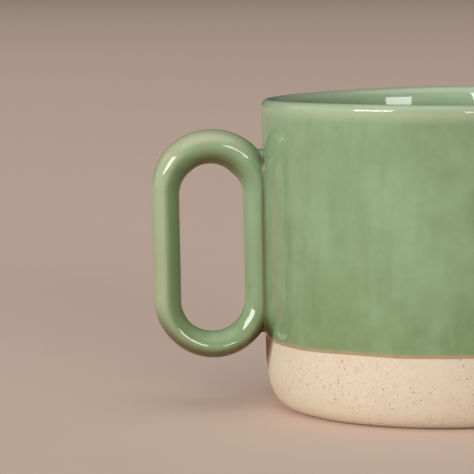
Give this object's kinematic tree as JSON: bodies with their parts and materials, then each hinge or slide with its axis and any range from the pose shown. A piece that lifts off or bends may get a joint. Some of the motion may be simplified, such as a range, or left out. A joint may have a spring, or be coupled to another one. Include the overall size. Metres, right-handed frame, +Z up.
{
  "type": "mug",
  "caption": "Wide, low stoneware mug with a sage green glaze over a bare speckled clay base, and a closed ring handle pressed against the wall.",
  "frame": {"origin": "centre of the flat ring that the mug stands on, on the cup's axis", "axes": "+Z up along the cup's axis, the handle points along -X, +Y completes a right-handed frame"},
  "size_m": [0.1185, 0.09, 0.08],
  "materials": {
    "bare_clay": "matte",
    "handle_clay": "matte",
    "sage_glaze": "gloss"
  },
  "bodies": {
    "root": {"cup_body": "bare_clay", "handle_ring": "handle_clay", "joining_slip": "handle_clay", "outer_glaze": "sage_glaze", "liner_glaze": "sage_glaze", "handle_glaze": "sage_glaze"}
  },
  "joints": []
}
